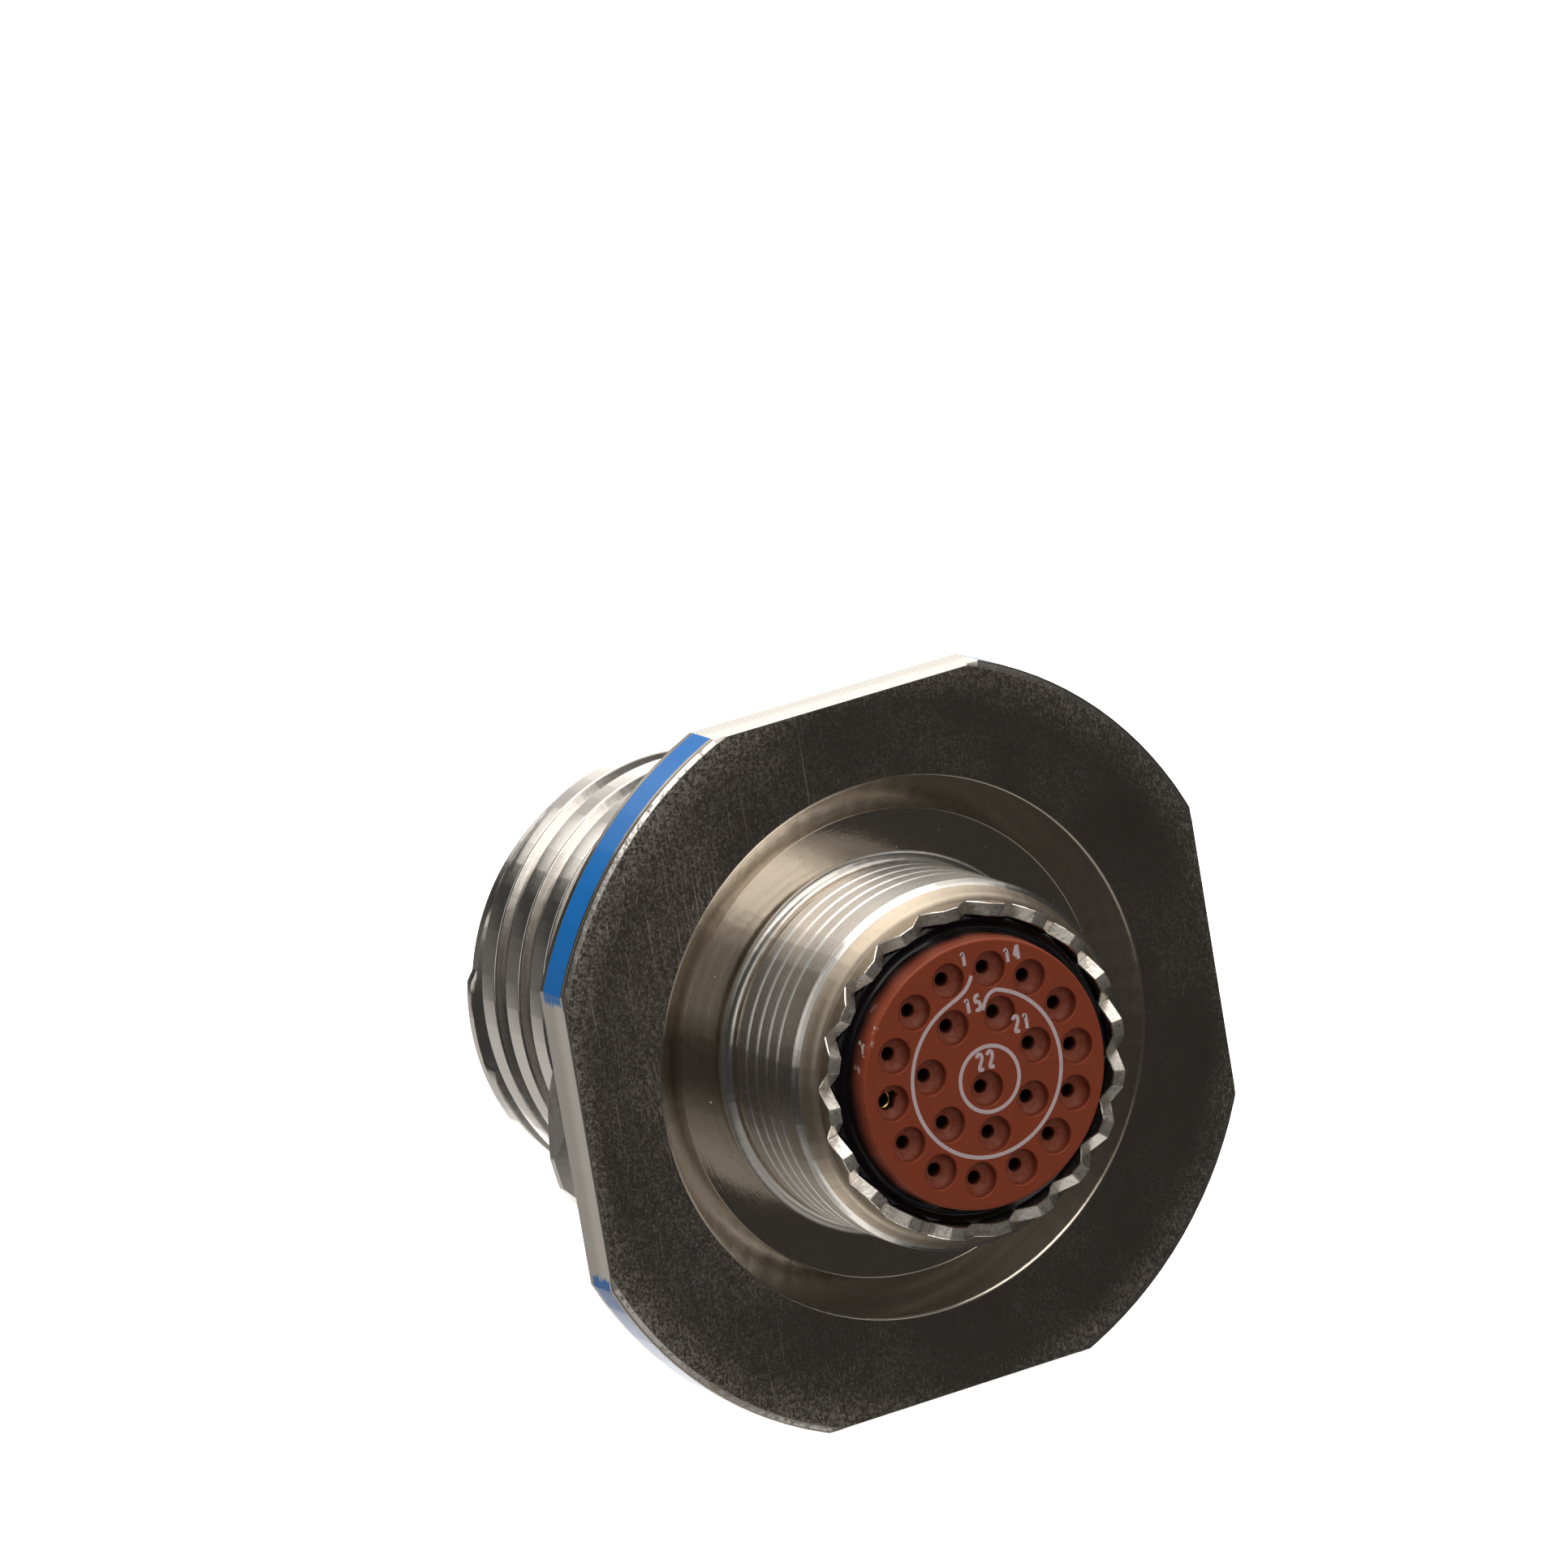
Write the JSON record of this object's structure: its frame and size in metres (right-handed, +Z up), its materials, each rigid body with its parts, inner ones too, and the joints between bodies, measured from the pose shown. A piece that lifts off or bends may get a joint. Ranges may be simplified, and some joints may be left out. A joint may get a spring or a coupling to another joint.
{
  "type": "circular connector receptacle",
  "caption": "Round panel receptacle with a flatted flange, a hex jam nut, a coarse coupling thread, a toothed threaded wire end and a sealed pin insert.",
  "frame": {"origin": "on the connector's axis, in the flange face that seats on the panel", "axes": "+Y along the axis towards the mating end, so the wire end faces -Y; +Z up, towards the main keyway"},
  "size_m": [0.035, 0.0324, 0.035],
  "materials": {
    "nickel_plate": "satin electroless nickel plate on aluminium, with a blue painted band on the flange rim",
    "black_rubber": "matt black rubber",
    "red_silicone": "satin red-brown silicone rubber",
    "insert_resin": "dark moulded resin",
    "black_epoxy": "glossy black bonding compound",
    "contact_gold": "gold plate",
    "clip_alloy": "bright spring alloy"
  },
  "bodies": {
    "receptacle": {"shell": "nickel_plate", "panel_o_ring": "black_rubber", "face_seal": "red_silicone", "front_insert": "insert_resin", "rear_insert": "insert_resin", "grommet": "red_silicone", "bonding_bead": "black_epoxy", "contact_01": "contact_gold", "contact_02": "contact_gold", "contact_03": "contact_gold", "contact_04": "contact_gold", "contact_05": "contact_gold", "contact_06": "contact_gold", "contact_07": "contact_gold", "contact_08": "contact_gold", "contact_09": "contact_gold", "contact_10": "contact_gold", "contact_11": "contact_gold", "contact_12": "contact_gold", "contact_13": "contact_gold", "contact_14": "contact_gold", "contact_15": "contact_gold", "contact_16": "contact_gold", "contact_17": "contact_gold", "contact_18": "contact_gold", "contact_19": "contact_gold", "contact_20": "contact_gold", "contact_21": "contact_gold", "contact_22": "contact_gold", "retention_clip_01": "clip_alloy", "retention_clip_02": "clip_alloy", "retention_clip_03": "clip_alloy", "retention_clip_04": "clip_alloy", "retention_clip_05": "clip_alloy", "retention_clip_06": "clip_alloy", "retention_clip_07": "clip_alloy", "retention_clip_08": "clip_alloy", "retention_clip_09": "clip_alloy", "retention_clip_10": "clip_alloy", "retention_clip_11": "clip_alloy", "retention_clip_12": "clip_alloy", "retention_clip_13": "clip_alloy", "retention_clip_14": "clip_alloy", "retention_clip_15": "clip_alloy", "retention_clip_16": "clip_alloy", "retention_clip_17": "clip_alloy", "retention_clip_18": "clip_alloy", "retention_clip_19": "clip_alloy", "retention_clip_20": "clip_alloy", "retention_clip_21": "clip_alloy", "retention_clip_22": "clip_alloy"},
    "nut": {"jam_nut": "nickel_plate"}
  },
  "joints": [
    {"name": "nut_travel", "type": "slide", "parent": "receptacle", "child": "nut", "axis": [0, 1, 0], "range_m": [-0.00075, 0.00495]}
  ]
}
